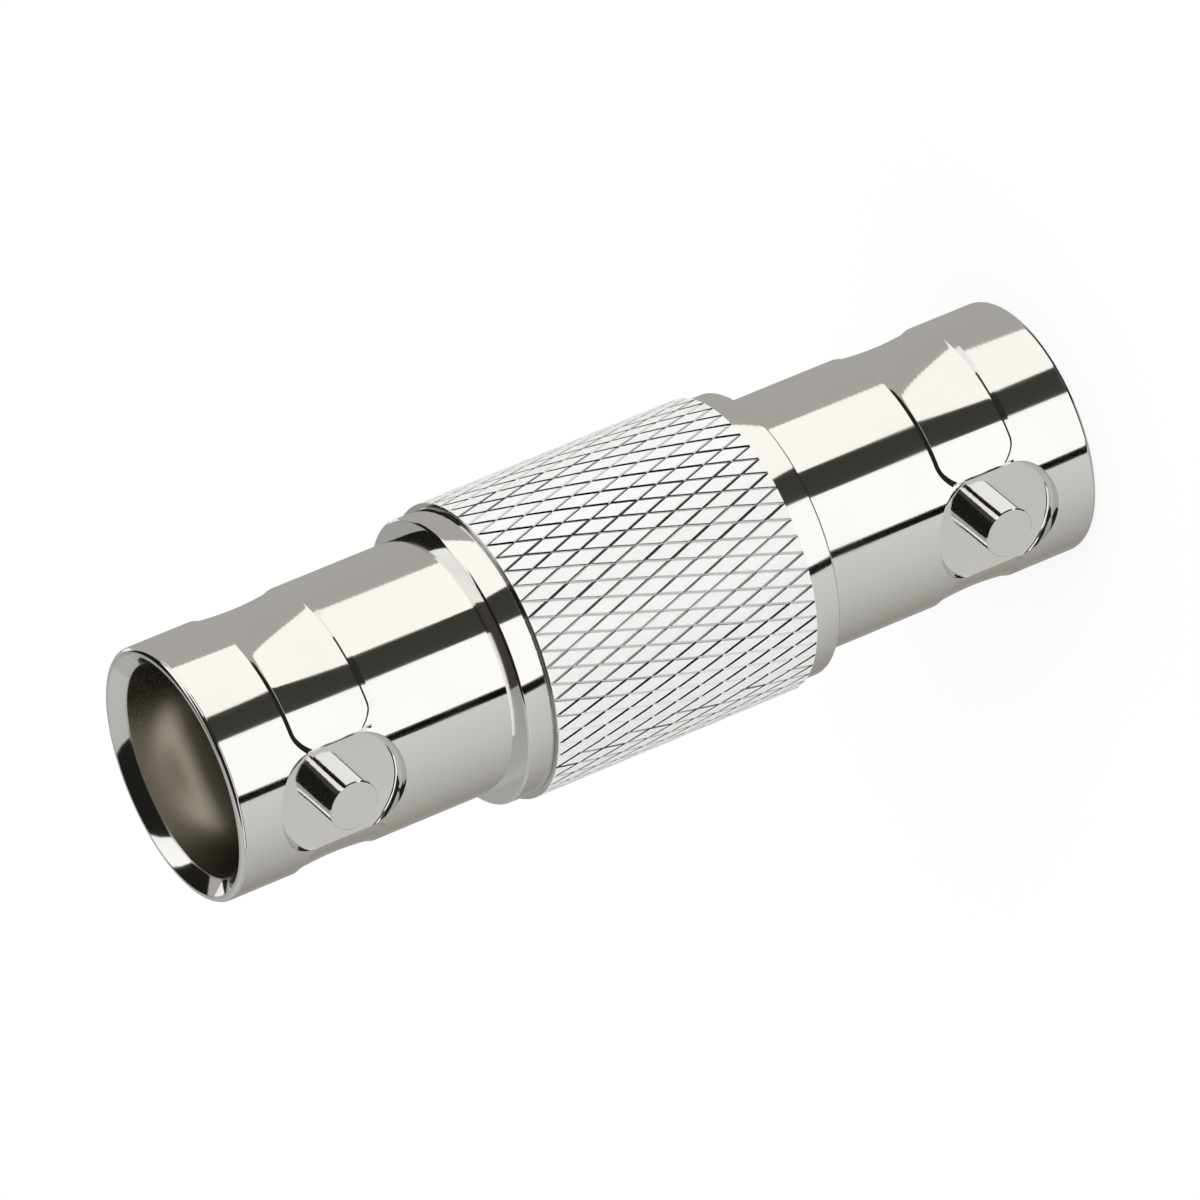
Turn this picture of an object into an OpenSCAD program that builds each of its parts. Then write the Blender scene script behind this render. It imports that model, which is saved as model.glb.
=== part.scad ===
// Coaxial barrel adapter: a bayonet jack at each end, joined by a knurled grip sleeve.
// It stands on one mouth, with its axis along Z and its origin at the centre of that mouth.
// All sizes are in millimetres.

/* [Barrel] */
// Length from mouth to mouth
barrel_l = 35.9; // [34:0.1:48]
// Outside diameter of the jack tubes
tube_d = 9.65; // [9.6:0.01:9.9]
// Diameter of the jack bores
bore_d = 8.12; // [7.8:0.01:8.15]
// Depth of a jack bore from its mouth to the shoulder
bore_depth = 8.4; // [7.5:0.1:10]
// Radius that rounds the outer edge of a mouth
lip_r = 0.2; // [0.05:0.01:0.2]
// Lead-in chamfer at the inner edge of a mouth
lead_in = 0.5; // [0.1:0.02:0.52]

/* [Bayonet lugs] */
// Diameter of a lug
lug_d = 1.95; // [1.6:0.01:2.4]
// Distance across a pair of lugs, tip to tip
lug_span = 11; // [10.4:0.01:11.6]
// Distance from the mouth to the middle of a lug
lug_depth = 4.2; // [3.8:0.05:4.8]
// Chamfer on the tip of a lug
lug_edge = 0.06; // [0.02:0.01:0.25]
// Diameter of the round flat that the hollow mill leaves about a lug
flat_d = 5.1; // [3.6:0.1:5.6]
// Distance from the axis to that flat
flat_h = 4.36; // [4.3:0.01:4.6]

/* [Waist] */
// Distance from the mouth to the middle of the milled waist
waist_depth = 4.46; // [4:0.02:5]
// Length of the waist along the tube
waist_l = 3.45; // [2.4:0.05:4]
// How far the waist is sunk at its middle
waist_sink = 0.17; // [0.05:0.01:0.3]
// Angle from a lug to the end of the waist
waist_angle = 25; // [22:1:50]

/* [Grip] */
// Length of the knurled sleeve
sleeve_l = 10.86; // [8:0.02:13]
// Diameter over the crests of the knurl
knurl_d = 11.3; // [11.1:0.02:13]
// Depth of the knurl grooves
knurl_sink = 0.08; // [0.04:0.01:0.3]
// Number of grooves of each hand
knurl_starts = 56; // [24:2:60]
// Angle of the grooves to the axis
knurl_angle = 18; // [12:1:35]
// Share of a diamond that is its flat crest
crest_share = 0.84; // [0.3:0.02:0.9]
// Diameter of the plain collar on each side of the knurl
collar_d = 10.9; // [10.4:0.02:11.2]
// Length of a collar
collar_l = 1.12; // [0.6:0.02:2]
// Broken edge of a collar
collar_edge = 0.07; // [0.02:0.01:0.2]
// Diameter of the spigot that each shell presses into the sleeve
spigot_d = 9.2; // [8.4:0.05:9.4]
// Gap left between the two spigots so that both collars seat
spigot_gap = 0.3; // [0.1:0.05:1]

/* [Insulators] */
// Diameter of the nose of an insulator
nose_d = 4.72; // [4.2:0.01:5.2]
// Distance from the mouth back to the front of the nose
nose_recess = 2.9; // [2.6:0.05:3.6]
// Diameter of the flange that holds an insulator in its shell
flange_d = 6.4; // [5.8:0.05:7.4]
// Length of that flange, from the middle of the barrel
flange_l = 3.1; // [2:0.1:4.5]
// Broken edge at the front of the nose
nose_edge = 0.25; // [0.05:0.05:0.4]

/* [Contact] */
// Outside diameter of the contact
contact_d = 2.1; // [1.9:0.02:2.5]
// Diameter of a socket
socket_d = 1.38; // [1.3:0.01:1.5]
// Depth of a socket
socket_l = 5.2; // [4.5:0.1:7]
// Lead-in chamfer of a socket
socket_edge = 0.12; // [0.04:0.01:0.18]
// Width of the slots that split a socket into tines
slot_w = 0.22; // [0.12:0.01:0.25]
// Length of those slots
slot_l = 4.2; // [2:0.1:5]
// Distance from the front of an insulator back to the end of the contact
contact_recess = 0.3; // [0.1:0.05:1]
// Diameter of the middle collar that the insulators trap
stop_d = 3; // [2.7:0.05:3.6]
// Length of the middle collar
stop_l = 1.6; // [0.8:0.1:3]

/* [Fits] */
// Radial clearance drawn at pressed fits
press_gap = 0.01; // [0.005:0.005:0.03]
// Radial clearance about the contact, which lets its tines open
slip_gap = 0.05; // [0.02:0.01:0.1]

/* [Hidden] */
$fn = 96;

// Overshoot of a cutter beyond the surface that it opens
cut_over = 1;
// Steps in the rounding of a lip
lip_steps = 6;

half_l = barrel_l / 2;
tube_r = tube_d / 2;
bore_r = bore_d / 2;
seat_z = sleeve_l / 2;
collar_z = seat_z + collar_l;
nose_z = half_l - nose_recess;
contact_z = nose_z - contact_recess;

// The waist is the trace of a round-nosed cutter that is carried about the tube
waist_r = (pow(waist_l / 2, 2) + pow(waist_sink, 2)) / (2 * waist_sink);
waist_orbit = tube_r - waist_sink + waist_r;

// The knurl is a lattice of groove crossings, numbered in half pitches round and along the sleeve
crest_r = knurl_d / 2;
root_r = crest_r - knurl_sink;
groove_pitch = 360 / knurl_starts;
diamond_l = PI * knurl_d / knurl_starts / tan(knurl_angle);
knurl_rows = max(2, round(2 * sleeve_l / diamond_l));
row_h = sleeve_l / knurl_rows;
sleeve_bore_r = spigot_d / 2 + press_gap;
rim_r = (root_r + sleeve_bore_r) / 2;

// Where the crests, the half crests and the rims start in the list of points, after the crossings
crest_start = (knurl_rows + 1) * knurl_starts;
end_start = crest_start + 4 * (knurl_rows - 1) * knurl_starts;
rim_start = end_start + 6 * knurl_starts;

// A point of the sleeve at row j and column k, in half pitches
function on_sleeve(r, j, k) = [
    r * cos(k * groove_pitch / 2),
    r * sin(k * groove_pitch / 2),
    j * row_h - seat_z
];

// Every second column of a row holds a crossing, and the others hold a diamond
function column(k) = floor(((k + 2 * knurl_starts) % (2 * knurl_starts)) / 2);
function end_row(j) = j == 0 ? 0 : knurl_starts;
function crossing(j, k) = j * knurl_starts + column(k);
function crest(j, k, corner) = crest_start + 4 * ((j - 1) * knurl_starts + column(k)) + corner;
function end_crest(j, k, corner) = end_start + 3 * (end_row(j) + column(k)) + corner;
function rim(j, k) = rim_start + end_row(j) + column(k);

// A list from its last entry to its first, which turns a face over
function backwards(list) = [for (i = [len(list) - 1:-1:0]) list[i]];

// One full diamond: four flanks that rise from the grooves to a flat crest
function diamond(j, k) =
    let (
        groove = [crossing(j, k - 1), crossing(j - 1, k), crossing(j, k + 1), crossing(j + 1, k)],
        top = [for (corner = [0:3]) crest(j, k, corner)]
    )
    concat(
        [for (c = [0:3]) [groove[c], top[c], top[(c + 1) % 4]]],
        [for (c = [0:3]) [groove[c], top[(c + 1) % 4], groove[(c + 1) % 4]]],
        [[top[0], top[3], top[2]], [top[0], top[2], top[1]]]
    );

// One diamond that an end of the sleeve cuts in half: half a crest, two flanks and a piece of the end
function end_diamond(j, k) =
    let (
        inward = j == 0 ? 1 : -1,
        left = crossing(j, k - 1),
        right = crossing(j, k + 1),
        far = crossing(j + inward, k),
        top = [for (corner = [0:2]) end_crest(j, k, corner)],
        faces = [
            [top[1], top[0], top[2]],
            [left, far, top[0]],
            [left, top[0], top[1]],
            [right, top[2], top[0]],
            [right, top[0], far],
            [left, top[1], top[2], right, rim(j, k + 1), rim(j, k - 1)]
        ]
    )
    [for (face = faces) inward > 0 ? face : backwards(face)];

module knurled_blank() {
    inner_rows = [1:knurl_rows - 1];
    turns = [0:knurl_starts - 1];
    crossings = [
        for (j = [0:knurl_rows], i = turns)
            on_sleeve(root_r, j, 2 * i + j % 2)
    ];
    crests = [
        for (j = inner_rows, i = turns, step = [[0, -1], [-1, 0], [0, 1], [1, 0]])
            on_sleeve(crest_r, j + crest_share * step[0], 2 * i + (j + 1) % 2 + crest_share * step[1])
    ];
    end_crests = [
        for (j = [0, knurl_rows], i = turns, step = [[j == 0 ? 1 : -1, 0], [0, -1], [0, 1]])
            on_sleeve(crest_r, j + crest_share * step[0], 2 * i + (j + 1) % 2 + crest_share * step[1])
    ];
    rims = [
        for (j = [0, knurl_rows], i = turns)
            on_sleeve(rim_r, j, 2 * i + j % 2)
    ];
    diamonds = [
        for (j = inner_rows, i = turns, face = diamond(j, 2 * i + (j + 1) % 2)) face
    ];
    end_diamonds = [
        for (j = [0, knurl_rows], i = turns, face = end_diamond(j, 2 * i + (j + 1) % 2)) face
    ];
    discs = [
        [for (i = turns) rim(0, 2 * i)],
        [for (i = turns) rim(knurl_rows, -2 * i)]
    ];
    polyhedron(
        points = concat(crossings, crests, end_crests, rims),
        faces = concat(diamonds, end_diamonds, discs)
    );
}

// Turned section of a shell, with height measured from the middle of the barrel
module shell_section() {
    lip_arc = [
        for (s = [0:lip_steps])
            [tube_r - lip_r, half_l - lip_r] + lip_r * [cos(90 * s / lip_steps), sin(90 * s / lip_steps)]
    ];
    polygon(concat(
        [
            [flange_d / 2 + press_gap, spigot_gap / 2],
            [spigot_d / 2, spigot_gap / 2],
            [spigot_d / 2, seat_z],
            [collar_d / 2 - collar_edge, seat_z],
            [collar_d / 2, seat_z + collar_edge],
            [collar_d / 2, collar_z - collar_edge],
            [collar_d / 2 - collar_edge, collar_z],
            [tube_r, collar_z]
        ],
        lip_arc,
        [
            [bore_r + lead_in, half_l],
            [bore_r, half_l - lead_in],
            [bore_r, half_l - bore_depth],
            [nose_d / 2 + press_gap, half_l - bore_depth],
            [nose_d / 2 + press_gap, flange_l],
            [flange_d / 2 + press_gap, flange_l]
        ]
    ));
}

// The trace of the waist cutter on one side of the tube, as it is carried from lug to lug
module waist_sweep() {
    translate([0, 0, half_l - waist_depth])
        rotate([0, 0, waist_angle])
            rotate_extrude(angle = 180 - 2 * waist_angle)
                translate([waist_orbit, 0])
                    circle(r = waist_r);
}

// The turned shell with its waist milled, before the lugs are formed
module waisted_tube() {
    difference() {
        rotate_extrude()
            shell_section();
        for (side = [0, 180])
            rotate([0, 0, side])
                waist_sweep();
    }
}

// A cylinder or cone that stands on the tube at a lug, from one distance off the axis to another
module at_lug(from, to, r1, r2) {
    translate([from, 0, half_l - lug_depth])
        rotate([0, 90, 0])
            cylinder(h = to - from, r1 = r1, r2 = r2);
}

module lug() {
    tip = lug_span / 2;
    root = (bore_r + flat_h) / 2;
    at_lug(root, tip - lug_edge, lug_d / 2, lug_d / 2);
    at_lug(tip - lug_edge, tip, lug_d / 2, lug_d / 2 - lug_edge);
}

// One jack with its mouth up, about the middle of the barrel
module jack_shell() {
    color("silver") {
        difference() {
            waisted_tube();
            for (side = [0, 180])
                rotate([0, 0, side])
                    at_lug(flat_h, lug_span / 2 + cut_over, flat_d / 2, flat_d / 2);
        }
        for (side = [0, 180])
            rotate([0, 0, side])
                lug();
    }
}

// One insulator with its nose up, about the middle of the barrel
module insulator() {
    hole_r = contact_d / 2 + slip_gap;
    stop_r = stop_d / 2 + slip_gap;
    color("antiquewhite")
        rotate_extrude()
            polygon([
                [stop_r, 0],
                [flange_d / 2, 0],
                [flange_d / 2, flange_l],
                [nose_d / 2, flange_l],
                [nose_d / 2, nose_z - nose_edge],
                [nose_d / 2 - nose_edge, nose_z],
                [hole_r, nose_z],
                [hole_r, stop_l / 2],
                [stop_r, stop_l / 2]
            ]);
}

// The opening in one end of the contact: a socket, its lead-in and the crossed slots
module socket_cut() {
    translate([0, 0, contact_z - socket_l])
        cylinder(h = socket_l + cut_over, d = socket_d);
    translate([0, 0, contact_z - socket_edge])
        cylinder(h = socket_edge, d1 = socket_d, d2 = socket_d + 2 * socket_edge);
    for (turn = [0, 90])
        rotate([0, 0, turn])
            translate([-contact_d / 2 - cut_over, -slot_w / 2, contact_z - slot_l])
                cube([contact_d + 2 * cut_over, slot_w, slot_l + cut_over]);
}

module upper_jack_shell() {
    translate([0, 0, half_l])
        jack_shell();
}

module lower_jack_shell() {
    translate([0, 0, half_l])
        rotate([180, 0, 0])
            jack_shell();
}

module knurled_sleeve() {
    color("gainsboro")
        translate([0, 0, half_l])
            difference() {
                knurled_blank();
                cylinder(h = sleeve_l + 2 * cut_over, r = sleeve_bore_r, center = true);
            }
}

module upper_insulator() {
    translate([0, 0, half_l])
        insulator();
}

module lower_insulator() {
    translate([0, 0, half_l])
        rotate([180, 0, 0])
            insulator();
}

module centre_contact() {
    color("goldenrod")
        translate([0, 0, half_l])
            difference() {
                union() {
                    cylinder(h = 2 * contact_z, d = contact_d, center = true);
                    cylinder(h = stop_l, d = stop_d, center = true);
                }
                for (flip = [0, 180])
                    rotate([flip, 0, 0])
                        socket_cut();
            }
}

upper_jack_shell();
lower_jack_shell();
knurled_sleeve();
upper_insulator();
lower_insulator();
centre_contact();
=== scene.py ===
# Coaxial barrel adapter: bright turned jacks, a satin knurled grip, pale insulators and a gilt contact
import math

import bmesh
import bpy
from mathutils import Matrix, Vector


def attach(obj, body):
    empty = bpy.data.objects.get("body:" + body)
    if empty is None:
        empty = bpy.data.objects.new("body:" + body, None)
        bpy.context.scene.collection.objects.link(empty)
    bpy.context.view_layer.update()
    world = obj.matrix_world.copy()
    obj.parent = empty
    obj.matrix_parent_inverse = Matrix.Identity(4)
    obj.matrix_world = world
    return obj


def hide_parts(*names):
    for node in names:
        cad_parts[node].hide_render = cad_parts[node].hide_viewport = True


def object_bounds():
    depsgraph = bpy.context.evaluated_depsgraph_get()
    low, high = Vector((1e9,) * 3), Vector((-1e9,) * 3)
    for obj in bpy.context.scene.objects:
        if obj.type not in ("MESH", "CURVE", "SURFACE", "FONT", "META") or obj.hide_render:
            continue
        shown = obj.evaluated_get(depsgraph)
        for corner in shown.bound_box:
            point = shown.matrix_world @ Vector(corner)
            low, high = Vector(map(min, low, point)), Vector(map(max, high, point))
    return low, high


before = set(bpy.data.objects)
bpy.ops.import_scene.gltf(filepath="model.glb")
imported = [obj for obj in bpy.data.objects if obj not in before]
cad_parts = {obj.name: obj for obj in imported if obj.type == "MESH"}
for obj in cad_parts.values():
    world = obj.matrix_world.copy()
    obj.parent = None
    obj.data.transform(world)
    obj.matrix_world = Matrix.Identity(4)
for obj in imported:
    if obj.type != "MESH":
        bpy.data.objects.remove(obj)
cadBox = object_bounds()
mm = 0.001
barrelLength = (cadBox[1] - cadBox[0]).z / mm
halfLength = barrelLength / 2
print("frame loaded, barrel", round(barrelLength, 2), "mm long")

colourA, colourB, colourOut = 6, 7, 2  # sockets of a Mix node for colours
floatA, floatB, floatOut = 2, 3, 0     # and for plain values
noiseLow, noiseHigh = 0.3, 0.7         # most of a noise lies between these
waveSpacing = math.tau / 20            # from band to band of a wave texture at a scale of 1


# From sRGB hex to linear
def hexColour(code):
    parts = [int(code[i:i + 2], 16) / 255 for i in (1, 3, 5)]
    return tuple(p / 12.92 if p <= 0.04045 else ((p + 0.055) / 1.055) ** 2.4 for p in parts) + (1.0,)


# Settings go to an input of that name or number, or else to the node itself; links are input to source
def addNode(tree, kind, settings=None, links=None):
    node = tree.nodes.new(kind)
    for key, value in (settings or {}).items():
        if isinstance(key, int) or key in node.inputs:
            node.inputs[key].default_value = value
        else:
            setattr(node, key, value)
    for key, source in (links or {}).items():
        tree.links.new(source, node.inputs[key])
    return node


def newMaterial(name):
    material = bpy.data.materials.new(name)
    material.use_nodes = True
    material.node_tree.nodes.clear()
    return material, material.node_tree


# Distance from the barrel's axis, in metres, for finishes that differ inside and out
def axisDistance(tree, place):
    flat = addNode(tree, "ShaderNodeMapping", {"Scale": (1, 1, 0)}, {"Vector": place})
    length = addNode(tree, "ShaderNodeVectorMath", {"operation": "LENGTH"}, {0: flat.outputs["Vector"]})
    return length.outputs["Value"]


nickelLook = {
    "outside": "#ebeae8", "stain": "#e6e5e2", "bore": "#cdc8bf",
    "roughness": (0.05, 0.09), "boreRoughness": 0.24,
    "stainSize": 4.0, "lineSize": 0.22, "lineHeight": 0.0004,  # mm
    "boreEdge": (4.07, 4.12),                                  # mm from the axis
}


# Bright nickel on polished brass: a mirror with a faint warm cast, which dulls in patches where the bath
# reaches badly, and which is darker, warmer and rougher inside the bore
def brightNickel():
    material, tree = newMaterial("bright nickel plate")
    place = addNode(tree, "ShaderNodeTexCoord").outputs["Object"]
    inner, outer = nickelLook["boreEdge"]
    outside = addNode(
        tree, "ShaderNodeMapRange", {"From Min": inner * mm, "From Max": outer * mm},
        {"Value": axisDistance(tree, place)},
    ).outputs["Result"]
    stain = addNode(
        tree, "ShaderNodeTexNoise", {"Scale": 1 / (nickelLook["stainSize"] * mm), "Detail": 4.0},
        {"Vector": place},
    ).outputs["Fac"]
    tone = addNode(
        tree, "ShaderNodeMix",
        {"data_type": "RGBA", colourA: hexColour(nickelLook["outside"]),
         colourB: hexColour(nickelLook["stain"])},
        {0: stain},
    )
    # Inside the bore the colour is darker and warmer than outside
    colour = addNode(
        tree, "ShaderNodeMix", {"data_type": "RGBA", colourA: hexColour(nickelLook["bore"])},
        {0: outside, colourB: tone.outputs[colourOut]},
    )
    smooth, dull = nickelLook["roughness"]
    polish = addNode(
        tree, "ShaderNodeMapRange",
        {"From Min": noiseLow, "From Max": noiseHigh, "To Min": smooth, "To Max": dull}, {"Value": stain},
    )
    roughness = addNode(
        tree, "ShaderNodeMix", {"data_type": "FLOAT", floatA: nickelLook["boreRoughness"]},
        {0: outside, floatB: polish.outputs["Result"]},
    )
    lines = addNode(
        tree, "ShaderNodeTexWave",
        {"bands_direction": "Z", "Scale": waveSpacing / (nickelLook["lineSize"] * mm), "Distortion": 0.6,
         "Detail": 3.0},
        {"Vector": place},
    )
    bump = addNode(
        tree, "ShaderNodeBump", {"Strength": 0.5, "Distance": nickelLook["lineHeight"] * mm},
        {"Height": lines.outputs["Fac"]},
    )
    shader = addNode(
        tree, "ShaderNodeBsdfPrincipled", {"Metallic": 1.0},
        {"Base Color": colour.outputs[colourOut], "Roughness": roughness.outputs[floatOut],
         "Normal": bump.outputs["Normal"]},
    )
    addNode(tree, "ShaderNodeOutputMaterial", None, {"Surface": shader.outputs["BSDF"]})
    return material


gripLook = {
    "crest": "#fafafa", "flank": "#d6d5d2",
    "crestMetal": 0.4, "crestRoughness": (0.55, 0.7), "crestRelief": 0.5, "flankRoughness": 0.1,
    "grainSize": 0.09, "grainHeight": 0.004,  # mm
    "crestEdge": (5.637, 5.6425),             # mm from the axis
}


# Satin nickel on a rolled knurl: pale crests with a fine grain, and burnished flanks that mirror the room,
# drawn darker than the crests partly as the nickel's own tone and partly as painted shade in the grooves.
# The grain is far too fine to show and scatters like pale paint, so a part of its tone is drawn as diffuse.
def satinNickel():
    material, tree = newMaterial("satin nickel on knurl")
    place = addNode(tree, "ShaderNodeTexCoord").outputs["Object"]
    inner, outer = gripLook["crestEdge"]
    satin = addNode(
        tree, "ShaderNodeMapRange", {"From Min": inner * mm, "From Max": outer * mm},
        {"Value": axisDistance(tree, place)},
    ).outputs["Result"]
    grain = addNode(
        tree, "ShaderNodeTexNoise", {"Scale": 1 / (gripLook["grainSize"] * mm), "Detail": 3.0},
        {"Vector": place},
    ).outputs["Fac"]
    # The flanks' darker tone is partly the nickel's own and partly painted shade in the grooves
    colour = addNode(
        tree, "ShaderNodeMix",
        {"data_type": "RGBA", colourA: hexColour(gripLook["flank"]), colourB: hexColour(gripLook["crest"])},
        {0: satin},
    )
    metal = addNode(
        tree, "ShaderNodeMapRange", {"To Min": 1.0, "To Max": gripLook["crestMetal"]}, {"Value": satin},
    )
    smooth, dull = gripLook["crestRoughness"]
    crestRoughness = addNode(
        tree, "ShaderNodeMapRange",
        {"From Min": noiseLow, "From Max": noiseHigh, "To Min": smooth, "To Max": dull}, {"Value": grain},
    )
    roughness = addNode(
        tree, "ShaderNodeMix", {"data_type": "FLOAT", floatA: gripLook["flankRoughness"]},
        {0: satin, floatB: crestRoughness.outputs["Result"]},
    )
    relief = addNode(
        tree, "ShaderNodeMapRange", {"To Min": 0.0, "To Max": gripLook["crestRelief"]}, {"Value": satin},
    )
    bump = addNode(
        tree, "ShaderNodeBump", {"Distance": gripLook["grainHeight"] * mm},
        {"Height": grain, "Strength": relief.outputs["Result"]},
    )
    shader = addNode(
        tree, "ShaderNodeBsdfPrincipled", None,
        {"Base Color": colour.outputs[colourOut], "Metallic": metal.outputs["Result"],
         "Roughness": roughness.outputs[floatOut], "Normal": bump.outputs["Normal"]},
    )
    addNode(tree, "ShaderNodeOutputMaterial", None, {"Surface": shader.outputs["BSDF"]})
    return material


plasticLook = {
    "body": "#e9e5da", "shade": "#ddd7c9", "roughness": (0.38, 0.5),
    "mottleSize": 0.9, "ringSize": 0.18, "ringHeight": 0.004,  # mm
    "bleed": (0.6, 0.5, 0.4),                                  # mm that red, green and blue light spreads
}


# Turned fluoropolymer: waxy off-white, a little translucent, with soft tool rings
def turnedPlastic():
    material, tree = newMaterial("turned fluoropolymer")
    place = addNode(tree, "ShaderNodeTexCoord").outputs["Object"]
    mottle = addNode(
        tree, "ShaderNodeTexNoise", {"Scale": 1 / (plasticLook["mottleSize"] * mm), "Detail": 3.0},
        {"Vector": place},
    ).outputs["Fac"]
    colour = addNode(
        tree, "ShaderNodeMix",
        {"data_type": "RGBA", colourA: hexColour(plasticLook["body"]),
         colourB: hexColour(plasticLook["shade"])},
        {0: mottle},
    )
    rings = addNode(
        tree, "ShaderNodeTexWave",
        {"wave_type": "RINGS", "rings_direction": "Z",
         "Scale": waveSpacing / (plasticLook["ringSize"] * mm), "Distortion": 0.4},
        {"Vector": place},
    )
    bump = addNode(
        tree, "ShaderNodeBump", {"Strength": 0.4, "Distance": plasticLook["ringHeight"] * mm},
        {"Height": rings.outputs["Fac"]},
    )
    smooth, dull = plasticLook["roughness"]
    roughness = addNode(tree, "ShaderNodeMapRange", {"To Min": smooth, "To Max": dull}, {"Value": mottle})
    shader = addNode(
        tree, "ShaderNodeBsdfPrincipled",
        {"IOR": 1.38, "Subsurface Weight": 0.15,
         "Subsurface Radius": tuple(spread * mm for spread in plasticLook["bleed"])},
        {"Base Color": colour.outputs[colourOut], "Roughness": roughness.outputs["Result"],
         "Normal": bump.outputs["Normal"]},
    )
    addNode(tree, "ShaderNodeOutputMaterial", None, {"Surface": shader.outputs["BSDF"]})
    return material


giltLook = {"gold": "#e2bd6b", "worn": "#c9a45a", "roughness": (0.16, 0.3), "patchSize": 0.5}  # mm


# Gold flash on turned bronze: soft yellow metal, a little worn
def goldFlash():
    material, tree = newMaterial("gold flash on bronze")
    place = addNode(tree, "ShaderNodeTexCoord").outputs["Object"]
    patch = addNode(
        tree, "ShaderNodeTexNoise", {"Scale": 1 / (giltLook["patchSize"] * mm), "Detail": 4.0},
        {"Vector": place},
    ).outputs["Fac"]
    colour = addNode(
        tree, "ShaderNodeMix",
        {"data_type": "RGBA", colourA: hexColour(giltLook["gold"]), colourB: hexColour(giltLook["worn"])},
        {0: patch},
    )
    smooth, dull = giltLook["roughness"]
    roughness = addNode(tree, "ShaderNodeMapRange", {"To Min": smooth, "To Max": dull}, {"Value": patch})
    shader = addNode(
        tree, "ShaderNodeBsdfPrincipled", {"Metallic": 1.0},
        {"Base Color": colour.outputs[colourOut], "Roughness": roughness.outputs["Result"]},
    )
    addNode(tree, "ShaderNodeOutputMaterial", None, {"Surface": shader.outputs["BSDF"]})
    return material


mergeDistance = 0.0005  # mm
cornerShare = 0.45      # of a side, the most that one rounded corner takes


# Points of an outline, in mm, with each corner rounded but those that are named sharp
def softened(outline, radius, steps, sharp=()):
    points = []
    for i, corner in enumerate(outline):
        here = Vector(corner)
        toLast = Vector(outline[i - 1]) - here
        toNext = Vector(outline[(i + 1) % len(outline)]) - here
        half = toLast.angle(toNext) / 2
        room = cornerShare * min(toLast.length, toNext.length)
        run = 0 if i in sharp else min(radius / math.tan(half), room)
        start = here + toLast.normalized() * run
        end = here + toNext.normalized() * run
        for step in range(steps + 1):
            t = step / steps
            points.append(start * (1 - t) ** 2 + here * 2 * t * (1 - t) + end * t ** 2)
    return points


# An outline of radius and height, in mm, turned about the barrel's axis; an open one isn't joined up
def turned(outline, steps, closed=True):
    bm = bmesh.new()
    verts = [bm.verts.new((radius * mm, 0, height * mm)) for radius, height in outline]
    firstEnd = 0 if closed else 1
    edges = [bm.edges.new((verts[i - 1], verts[i])) for i in range(firstEnd, len(verts))]
    bmesh.ops.spin(
        bm, geom=verts + edges, cent=(0, 0, 0), axis=(0, 0, 1), angle=math.tau, steps=steps, use_merge=True,
    )
    bmesh.ops.remove_doubles(bm, verts=bm.verts, dist=mergeDistance * mm)
    bmesh.ops.recalc_face_normals(bm, faces=bm.faces)
    return bm


def meshObject(name, bm):
    mesh = bpy.data.meshes.new(name)
    bm.to_mesh(mesh)
    bm.free()
    piece = bpy.data.objects.new(name, mesh)
    bpy.context.scene.collection.objects.link(piece)
    return piece


# Cuts the tool out of the piece, or joins it on, and removes the tool
def carve(piece, tool, operation):
    step = piece.modifiers.new("carve", "BOOLEAN")
    step.operation = operation
    step.solver = "EXACT"
    step.object = tool
    bpy.context.view_layer.update()
    carved = bpy.data.meshes.new_from_object(piece.evaluated_get(bpy.context.evaluated_depsgraph_get()))
    piece.modifiers.clear()
    piece.data = carved
    bpy.data.objects.remove(tool)


# Shades a piece smooth up to an angle in degrees, gives it its finish and its body, and hides the CAD node
# that it replaces
def finishPiece(piece, node, material, sharp):
    bm = bmesh.new()
    bm.from_mesh(piece.data)
    bmesh.ops.remove_doubles(bm, verts=bm.verts, dist=mergeDistance * mm)
    for face in bm.faces:
        face.smooth = True
        face.material_index = 0
    for edge in bm.edges:
        edge.smooth = edge.is_manifold and edge.calc_face_angle() < math.radians(sharp)
    bm.to_mesh(piece.data)
    bm.free()
    piece.data.materials.clear()
    piece.data.materials.append(material)
    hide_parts(node)
    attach(piece, "root")


shell = {  # mm, with heights from the middle of the barrel
    "tube": 4.825, "bore": 4.06, "boreDepth": 8.4, "lip": 0.2, "leadIn": 0.5,
    "seat": 5.43, "collarLength": 1.12, "collar": 5.45, "collarEdge": 0.07,
    "spigot": 4.6, "spigotEnd": 0.15, "noseSeat": 2.37, "flangeSeat": 3.21, "flangeTop": 3.1,
    "edge": 0.03, "edgeSteps": 3, "lipSteps": 24, "turnSteps": 288,
    "sharp": 9,  # degrees: a waist's wall meets the tube at 20, and a step of tube, lug or lip is under 4
}
waist = {  # mm and degrees
    "depth": 4.46, "length": 3.45, "sink": 0.17,                # its middle lies this far from the mouth
    "slope": 20, "edge": 0.2, "angle": 25, "endSlope": 75,      # its walls, and its ends beside the lugs
    "narrowing": 0.42, "narrowingRun": 0.9, "blend": 0.006,     # towards its ends
    "margin": 0.15, "plate": 0.6, "around": 288, "across": 80,  # of the cutter
}
lug = {  # mm
    "depth": 4.2, "radius": 0.975, "tip": 5.5, "edge": 0.04, "steps": 96, "clearance": 1,
    "pocketFloor": 4.36, "pocketRadius": 2.55, "pocketCorner": 0.28, "cornerSteps": 10,
}


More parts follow.
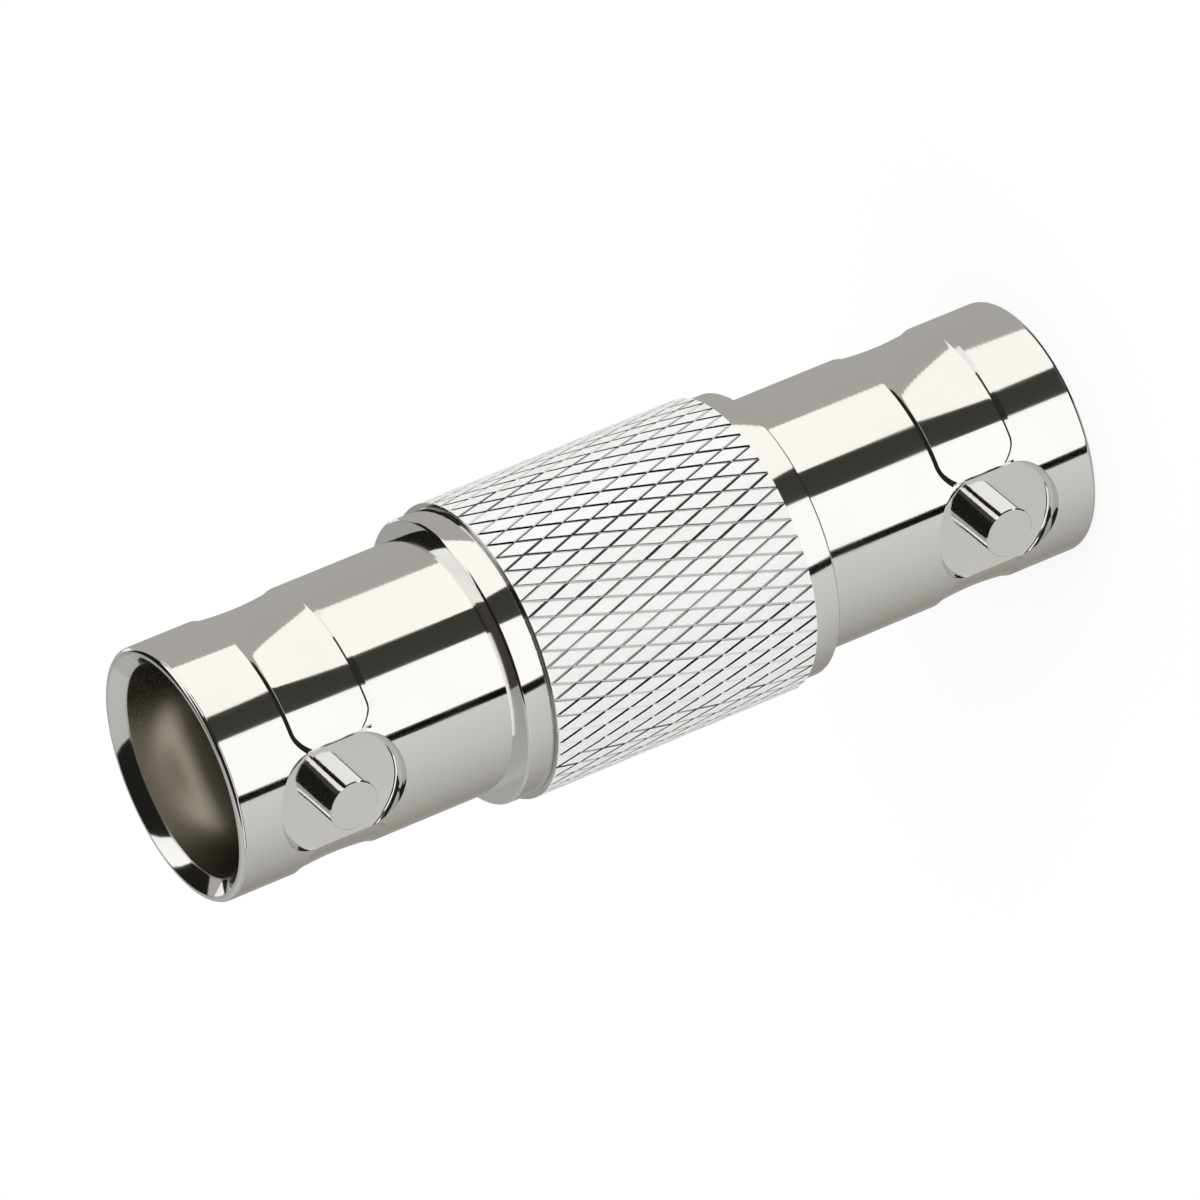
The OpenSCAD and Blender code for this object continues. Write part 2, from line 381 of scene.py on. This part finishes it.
def turnedShell():
    mouth = halfLength
    collarTop = shell["seat"] + shell["collarLength"]
    collarSide = shell["collar"] - shell["collarEdge"]
    insulatorSeat = mouth - shell["boreDepth"]
    before = [
        (shell["flangeSeat"], shell["spigotEnd"]),
        (shell["spigot"], shell["spigotEnd"]),
        (shell["spigot"], shell["seat"]),
        (collarSide, shell["seat"]),
        (shell["collar"], shell["seat"] + shell["collarEdge"]),
        (shell["collar"], collarTop - shell["collarEdge"]),
        (collarSide, collarTop),
        (shell["tube"], collarTop),
        (shell["tube"], mouth - shell["lip"]),
    ]
    after = [
        (shell["tube"] - shell["lip"], mouth),
        (shell["bore"] + shell["leadIn"], mouth),
        (shell["bore"], mouth - shell["leadIn"]),
        (shell["bore"], insulatorSeat),
        (shell["noseSeat"], insulatorSeat),
        (shell["noseSeat"], shell["flangeTop"]),
        (shell["flangeSeat"], shell["flangeTop"]),
    ]
    foot = before.index((shell["tube"], collarTop))
    corners = softened(before + after, shell["edge"], shell["edgeSteps"], (foot,))
    perCorner = shell["edgeSteps"] + 1
    lipStart = perCorner * (len(before) - 1)
    lipPoints = []  # a quarter round in place of the two corners of the lip
    for i in range(shell["lipSteps"] + 1):
        turn = math.pi / 2 * i / shell["lipSteps"]
        inward = Vector((math.cos(turn) - 1, math.sin(turn) - 1)) * shell["lip"]
        lipPoints.append(Vector((shell["tube"], mouth)) + inward)
    return turned(corners[:lipStart] + lipPoints + corners[lipStart + 2 * perCorner:], shell["turnSteps"])


# A tray bent round one side of the tube, to cut the waist: an arched floor with edges that rise at a slope
def waistCutter(side):
    halfAround = math.radians(90 - waist["angle"]) * shell["tube"]
    halfAcross = waist["length"] / 2
    rise = math.tan(math.radians(waist["slope"]))
    endRise = math.tan(math.radians(waist["endSlope"]))
    arch = (waist["sink"] - waist["edge"] * rise) / (halfAcross - waist["edge"]) ** 2
    level = halfLength - waist["depth"]
    bm = bmesh.new()
    bmesh.ops.create_grid(bm, x_segments=waist["around"], y_segments=waist["across"], size=1)
    for vert in bm.verts:
        around = vert.co.x * (halfAround + waist["margin"])
        across = vert.co.y * (halfAcross + waist["margin"])
        fromEnd = halfAround - abs(around)
        narrower = waist["narrowing"] * max(1 - fromEnd / waist["narrowingRun"], 0) ** 2
        sink = waist["sink"] - arch * across ** 2
        for wall in ((halfAcross - narrower - abs(across)) * rise, fromEnd * endRise):
            sink = (sink + wall - math.hypot(sink - wall, waist["blend"])) / 2  # the lower one, blended
        bearing = math.pi / 2 - around / shell["tube"]
        reach = shell["tube"] - sink
        vert.co = Vector((reach * math.cos(bearing), reach * math.sin(bearing), level + across)) * mm
    bmesh.ops.recalc_face_normals(bm, faces=bm.faces)
    middle = min(bm.faces, key=lambda face: abs(face.calc_center_median().x))
    outward = 1 if middle.normal.y > 0 else -1
    bmesh.ops.solidify(bm, geom=bm.faces, thickness=-outward * waist["plate"] * mm)
    bmesh.ops.recalc_face_normals(bm, faces=bm.faces)
    bmesh.ops.rotate(bm, verts=bm.verts, cent=(0, 0, 0), matrix=Matrix.Rotation(side * math.pi, 3, "Z"))
    return meshObject("waistCutter", bm)


# An outline of radius and distance from the barrel's axis, in mm, turned about the lug of one side
def atLug(side, outline):
    bm = turned(outline, lug["steps"], closed=False)
    level = Matrix.Translation((0, 0, (halfLength - lug["depth"]) * mm))
    place = Matrix.Rotation(side * math.pi, 4, "Z") @ level @ Matrix.Rotation(math.pi / 2, 4, "Y")
    bmesh.ops.transform(bm, matrix=place, verts=bm.verts)
    return meshObject("lugTool", bm)


def jackShell():
    pocket = [(0, lug["pocketFloor"])]
    for i in range(lug["cornerSteps"] + 1):
        turn = math.pi / 2 * i / lug["cornerSteps"]
        pocket.append((
            lug["pocketRadius"] - lug["pocketCorner"] * (1 - math.sin(turn)),
            lug["pocketFloor"] + lug["pocketCorner"] * (1 - math.cos(turn)),
        ))
    outside = lug["tip"] + lug["clearance"]
    pocket += [(lug["pocketRadius"], outside), (0, outside)]
    root = (shell["bore"] + lug["pocketFloor"]) / 2
    stud = [
        (0, root), (lug["radius"], root), (lug["radius"], lug["tip"] - lug["edge"]),
        (lug["radius"] - lug["edge"], lug["tip"]), (0, lug["tip"]),
    ]
    piece = meshObject("upperJack", turnedShell())
    for side in (0, 1):
        carve(piece, waistCutter(side), "DIFFERENCE")
    for outline, operation in ((pocket, "DIFFERENCE"), (stud, "UNION")):
        for side in (0, 1):
            carve(piece, atLug(side, outline), operation)
    return piece


grip = {  # mm
    "length": 10.86, "crest": 5.649, "sink": 0.06, "starts": 56, "rows": 5.5, "crestShare": 0.78,
    "bore": 4.61, "round": 0.012, "roundSteps": 2, "snap": 0.001, "rimReach": 0.01,
    "sharp": 15,  # degrees
}


# A cylinder net whose faces are poked and whose old edges are dissolved is a lattice of diamonds.
# It is made a row too long at each end and cut to length, so that the knurl runs out at full height.
def knurledGrip():
    root = grip["crest"] - grip["sink"]
    low = halfLength - grip["length"] / 2
    row = grip["length"] / grip["rows"]
    rows = range(-1, math.ceil(grip["rows"]) + 2)
    bm = turned([(root, low + row * i) for i in rows], grip["starts"], closed=False)
    net = [edge for edge in bm.edges if not edge.is_boundary]
    poked = bmesh.ops.poke(bm, faces=bm.faces)
    for vert in poked["verts"]:
        vert.co.xy = vert.co.xy.normalized() * root * mm
    bmesh.ops.dissolve_edges(bm, edges=net, use_verts=False)
    diamonds = [face for face in bm.faces if len(face.verts) == 4]
    across = math.pi * grip["crest"] / grip["starts"]
    inset = (1 - grip["crestShare"]) * across * row / 2 / math.hypot(across, row / 2)
    bmesh.ops.inset_individual(bm, faces=diamonds, thickness=inset * mm, depth=0, use_even_offset=True)
    for face in diamonds:
        for vert in face.verts:
            vert.co.xy = vert.co.xy.normalized() * grip["crest"] * mm
    crestEdges = {edge for face in diamonds for edge in face.edges}
    bmesh.ops.bevel(
        bm, geom=list(crestEdges), offset=grip["round"] * mm, offset_type="OFFSET", affect="EDGES",
        segments=grip["roundSteps"], profile=0.5, material=-1,
    )
    for end, way in ((low * mm, -1), ((low + grip["length"]) * mm, 1)):
        bmesh.ops.bisect_plane(
            bm, geom=bm.verts[:] + bm.edges[:] + bm.faces[:], dist=grip["snap"] * mm,
            plane_co=(0, 0, end), plane_no=(0, 0, way), clear_outer=True,
        )
        openEdges = [edge for edge in bm.edges if edge.is_boundary]
        rim = [edge for edge in openEdges if abs(edge.verts[0].co.z - end) < grip["rimReach"] * mm]
        grown = bmesh.ops.extrude_edge_only(bm, edges=rim)["geom"]
        for vert in (part for part in grown if isinstance(part, bmesh.types.BMVert)):
            vert.co.xy = vert.co.xy.normalized() * grip["bore"] * mm
    bmesh.ops.bridge_loops(bm, edges=[edge for edge in bm.edges if edge.is_boundary])
    bmesh.ops.recalc_face_normals(bm, faces=bm.faces)
    return meshObject("knurledGrip", bm)


insulator = {  # mm, with heights from the middle of the barrel
    "nose": 2.36, "noseRecess": 2.9, "flange": 3.2, "flangeTop": 3.1, "edge": 0.25,
    "hole": 1.1, "stop": 1.55, "stopTop": 0.8, "round": 0.05, "roundSteps": 3, "turnSteps": 144,
    "sharp": 25,  # degrees
}


def insulatorNose():
    top = halfLength - insulator["noseRecess"]
    outline = [
        (insulator["stop"], 0),
        (insulator["flange"], 0),
        (insulator["flange"], insulator["flangeTop"]),
        (insulator["nose"], insulator["flangeTop"]),
        (insulator["nose"], top - insulator["edge"]),
        (insulator["nose"] - insulator["edge"], top),
        (insulator["hole"], top),
        (insulator["hole"], insulator["stopTop"]),
        (insulator["stop"], insulator["stopTop"]),
    ]
    rounded = softened(outline, insulator["round"], insulator["roundSteps"])
    return meshObject("upperInsulator", turned(rounded, insulator["turnSteps"]))


contact = {  # mm, with heights from the middle of the barrel
    "radius": 1.05, "recess": 3.2, "socket": 0.69, "socketDepth": 5.2, "socketEdge": 0.12,
    "slotWidth": 0.22, "slotLength": 4.2, "stop": 1.5, "stopTop": 0.8, "turnSteps": 96,
    "sharp": 25,  # degrees
}


def centreContact():
    top = halfLength - contact["recess"]
    socketFloor = top - contact["socketDepth"]
    upper = [
        (contact["stop"], contact["stopTop"]),
        (contact["radius"], contact["stopTop"]),
        (contact["radius"], top),
        (contact["socket"] + contact["socketEdge"], top),
        (contact["socket"], top - contact["socketEdge"]),
        (contact["socket"], socketFloor),
        (0, socketFloor),
    ]
    outline = [(radius, -height) for radius, height in reversed(upper)] + upper
    piece = meshObject("centreContact", turned(outline, contact["turnSteps"], closed=False))
    # a blade is centred on the end, so it is twice as long as its slot, and it passes both walls
    bladeSize = (4 * contact["radius"] * mm, contact["slotWidth"] * mm, 2 * contact["slotLength"] * mm)
    for end in (1, -1):
        for turn in (0, math.pi / 2):
            blade = bmesh.new()
            bmesh.ops.create_cube(blade, size=1)
            bmesh.ops.scale(blade, vec=bladeSize, verts=blade.verts)
            bmesh.ops.rotate(blade, verts=blade.verts, cent=(0, 0, 0), matrix=Matrix.Rotation(turn, 3, "Z"))
            bmesh.ops.translate(blade, vec=(0, 0, end * top * mm), verts=blade.verts)
            carve(piece, meshObject("slotBlade", blade), "DIFFERENCE")
    return piece


# The second of a pair is the first turned end for end
def turnedOver(piece, name):
    twin = bpy.data.objects.new(name, piece.data.copy())
    twin.data.transform(Matrix.Rotation(math.pi, 4, "X"))
    bpy.context.scene.collection.objects.link(twin)
    return twin


# From the middle of the barrel at the origin to its place in the frame, which starts at the lower mouth
def lifted(piece):
    piece.data.transform(Matrix.Translation((0, 0, halfLength * mm)))
    return piece


nickel = brightNickel()
satin = satinNickel()
plastic = turnedPlastic()
gilt = goldFlash()
print("materials made")

upperJack = jackShell()
lowerJack = turnedOver(upperJack, "lowerJack")
finishPiece(lifted(upperJack), "upper_jack_shell", nickel, shell["sharp"])
finishPiece(lifted(lowerJack), "lower_jack_shell", nickel, shell["sharp"])
print("jacks turned and milled", len(upperJack.data.polygons), "faces each")

gripPiece = knurledGrip()
finishPiece(gripPiece, "knurled_sleeve", satin, grip["sharp"])
print("grip knurled", len(gripPiece.data.polygons), "faces")

upperInsulator = insulatorNose()
lowerInsulator = turnedOver(upperInsulator, "lowerInsulator")
finishPiece(lifted(upperInsulator), "upper_insulator", plastic, insulator["sharp"])
finishPiece(lifted(lowerInsulator), "lower_insulator", plastic, insulator["sharp"])
contactPiece = centreContact()
finishPiece(lifted(contactPiece), "centre_contact", gilt, contact["sharp"])
print("insulators and contact fitted")

studio = {
    "floorRadius": 4.0, "floorSteps": 96, "floor": "#f6f6f5",  # m
    "floorGlow": 0.8,                                          # the share of it that is plain white
    "cameraSide": 38.0,                                        # degrees from +X, as the camera stands
    "reach": 1.5, "strength": 1.2, "step": 12,                 # m, glow and degrees, for the cards
    "ambient": 0.95,                                           # glow of the room on the pieces
}
wallGrey, cream, white = "#a5a3a0", "#fcfbf5", "#ffffff"
rearFields = [
    (150, 196, "#b8b8b6", "#8d8d8b"),
    (196, 253, "#161614", "#1e1d1a"),
    (253, 286, white, "#f4f4f2"),
]
# Glowing flags and sheets about the barrel that only its bright metal shows, as painted reflections,
# between two heights in degrees.
# A field has two edges and one tone, or a tone at each edge. An edge is its bearing from the camera,
# or a low and a high bearing where it slants.
belts = {
    "lowBelt": {
        "heights": (-48, -4),
        "fields": [
            (-140, (-45, -105.3), wallGrey),
            ((-45, -105.3), (-47, -30.4), cream),
            ((-47, -30.4), (-14.5, -10.5), "#35342f", "#3c3b35"),
            ((-14.5, -10.5), 37, white),
            (37, 44, "#090908"),
            (44, 76, "#cccbc8", "#c1c0bd"),
            (76, 100, "#c1c0bd", "#b2b1ad"),
            (100, 148, "#b2b1ad", "#8d8a85"),
            (148, 220, "#8d8a85", wallGrey),
        ],
    },
    "collarBelt": {
        "heights": (20, 31),
        "fields": [
            (-74, -38, "#f6f6f2", white),
            (-38, 42, "#443d38"),
            (42, 150, "#a6a6a4", "#b8b8b6"),
            *rearFields,
        ],
    },
    "highBelt": {
        "heights": (31, 89),
        "fields": [(-74, 70, "#1c1c1a"), (70, 150, "#b2b2b1", "#b8b8b6"), *rearFields],
    },
    "rearBelt": {"heights": (-4, 20), "fields": [(84, 200, "#b0b0ae", "#a4a4a2")]},
    "frontBelt": {
        "heights": (-4, 9),
        "fields": [(-150, -89, wallGrey), (-58, -6, "#2b2b28", "#22221f"), (-6, 84, "#11110f")],
    },
    "browBelt": {
        "heights": (9, 20),
        "fields": [(-150, -95, wallGrey), (-95, -36, cream), (-36, -10, "#2b2a26"), (-10, 84, white)],
    },
    "skirtBelt": {
        "heights": (-50, -48),
        "fields": [(-180, -75, wallGrey), (-75, 37, white), (37, 180, wallGrey)],
    },
    "footBelt": {"heights": (-88, -50), "fields": [(-180, 52, "#24231f"), (52, 180, wallGrey)]},
}


# 1 for a ray that shows what it meets, straight, mirrored or through glass, and 0 for light on a surface
def plainlySeen(tree):
    path = addNode(tree, "ShaderNodeLightPath")
    seen = path.outputs["Is Camera Ray"]
    for ray in ("Is Glossy Ray", "Is Transmission Ray"):
        either = addNode(
            tree, "ShaderNodeMath", {"operation": "MAXIMUM"}, {0: seen, 1: path.outputs[ray]},
        )
        seen = either.outputs[0]
    return seen


# White paper: plain white to the eye, but it keeps a part of the shadow
def floorMaterial():
    material, tree = newMaterial("white paper sweep")
    share = addNode(
        tree, "ShaderNodeMath", {"operation": "MULTIPLY", 1: studio["floorGlow"]}, {0: plainlySeen(tree)},
    )
    paper = addNode(tree, "ShaderNodeBsdfDiffuse", {"Color": hexColour(studio["floor"])})
    glow = addNode(tree, "ShaderNodeEmission", {"Color": hexColour(white), "Strength": 1.0})
    mix = addNode(
        tree, "ShaderNodeMixShader", None,
        {0: share.outputs[0], 1: paper.outputs["BSDF"], 2: glow.outputs["Emission"]},
    )
    addNode(tree, "ShaderNodeOutputMaterial", None, {"Surface": mix.outputs["Shader"]})
    return material


# Painted reflection: an even glow in the tone of its field, which only the metal shows
def reflectionGlowMaterial():
    material, tree = newMaterial("reflection glow")
    tone = addNode(tree, "ShaderNodeVertexColor", {"layer_name": "tone"})
    glow = addNode(
        tree, "ShaderNodeEmission", {"Strength": studio["strength"]}, {"Color": tone.outputs["Color"]},
    )
    addNode(tree, "ShaderNodeOutputMaterial", None, {"Surface": glow.outputs["Emission"]})
    return material


# One belt of painted-reflection fields, far enough off for its edges to run straight along the tubes
def reflectionBelt(name, belt, material):
    bm = bmesh.new()
    tone = bm.loops.layers.float_color.new("tone")
    for firstEdge, lastEdge, *tones in belt["fields"]:
        start, end = (edge if isinstance(edge, tuple) else (edge, edge) for edge in (firstEdge, lastEdge))
        startTone, endTone = (Vector(hexColour(code)) for code in (tones[0], tones[-1]))
        width = max(abs(last - first) for first, last in zip(start, end))
        steps = max(1, round(width / studio["step"]))
        spokes = []
        for i in range(steps + 1):
            t = i / steps
            pair = []
            for height, first, last in zip(belt["heights"], start, end):
                bearing = math.radians(studio["cameraSide"] - first * (1 - t) - last * t)
                out = Matrix.Rotation(bearing, 3, "Z") @ Matrix.Rotation(-math.radians(height), 3, "Y")
                pair.append(bm.verts.new(out @ Vector((studio["reach"], 0, 0))))
            spokes.append((pair, startTone.lerp(endTone, t)))
        for (left, leftTone), (right, rightTone) in zip(spokes, spokes[1:]):
            face = bm.faces.new((left[0], right[0], right[1], left[1]))
            for loop, colour in zip(face.loops, (leftTone, rightTone, rightTone, leftTone)):
                loop[tone] = colour
    card = meshObject(name, bm)
    card.data.materials.append(material)
    # Hidden from camera, diffuse and shadow rays, the glow shows only as painted reflections in the metal
    card.visible_camera = False
    card.visible_diffuse = False
    card.visible_shadow = False
    card.visible_transmission = False
    return card


def paperFloor():
    bm = bmesh.new()
    bmesh.ops.create_circle(bm, cap_ends=True, radius=studio["floorRadius"], segments=studio["floorSteps"])
    sheet = meshObject("floor", bm)
    sheet.data.materials.append(floorMaterial())
    sheet.visible_glossy = False  # the metal shows the belts instead, which reach below the floor
    return sheet


floor = paperFloor()
cards = reflectionGlowMaterial()
for name, belt in belts.items():
    reflectionBelt(name, belt, cards)

world = bpy.data.worlds.new("studio")
bpy.context.scene.world = world
world.use_nodes = True
sky = world.node_tree
sky.nodes.clear()
level = addNode(
    sky, "ShaderNodeMapRange", {"To Min": studio["ambient"], "To Max": 1.0}, {"Value": plainlySeen(sky)},
)
backdrop = addNode(
    sky, "ShaderNodeBackground", {"Color": hexColour(white)}, {"Strength": level.outputs["Result"]},
)
addNode(sky, "ShaderNodeOutputWorld", None, {"Surface": backdrop.outputs["Background"]})

softbox = {"size": 0.5, "energy": 2.4, "place": (0.25, 0.45, 0.7)}  # m and W
light = bpy.data.lights.new("softbox", "AREA")
light.size = softbox["size"]
light.energy = softbox["energy"]
lamp = bpy.data.objects.new("softbox", light)
lamp.location = softbox["place"]
lamp.rotation_euler = Vector(softbox["place"]).to_track_quat("Z", "Y").to_euler()
lamp.visible_glossy = False
bpy.context.scene.collection.objects.link(lamp)
print("studio set")

view = {  # mm and degrees
    "aim": 18.147, "distance": 479.3, "elevation": 23.33, "roll": 112.41, "lens": 401.47, "sensor": 36,
}
side = math.radians(studio["cameraSide"])
rise = math.radians(view["elevation"])
back = Vector((math.cos(rise) * math.cos(side), math.cos(rise) * math.sin(side), math.sin(rise)))
lens = bpy.data.cameras.new("camera")
lens.lens = view["lens"]
lens.sensor_width = view["sensor"]
camera = bpy.data.objects.new("camera", lens)
camera.location = Vector((0, 0, view["aim"] * mm)) + back * view["distance"] * mm
roll = Matrix.Rotation(-math.radians(view["roll"]), 3, back)
camera.rotation_euler = (roll @ back.to_track_quat("Z", "Y").to_matrix()).to_euler()
bpy.context.scene.collection.objects.link(camera)
bpy.context.scene.camera = camera
bpy.context.scene.view_settings.view_transform = "Standard"
print("camera placed")
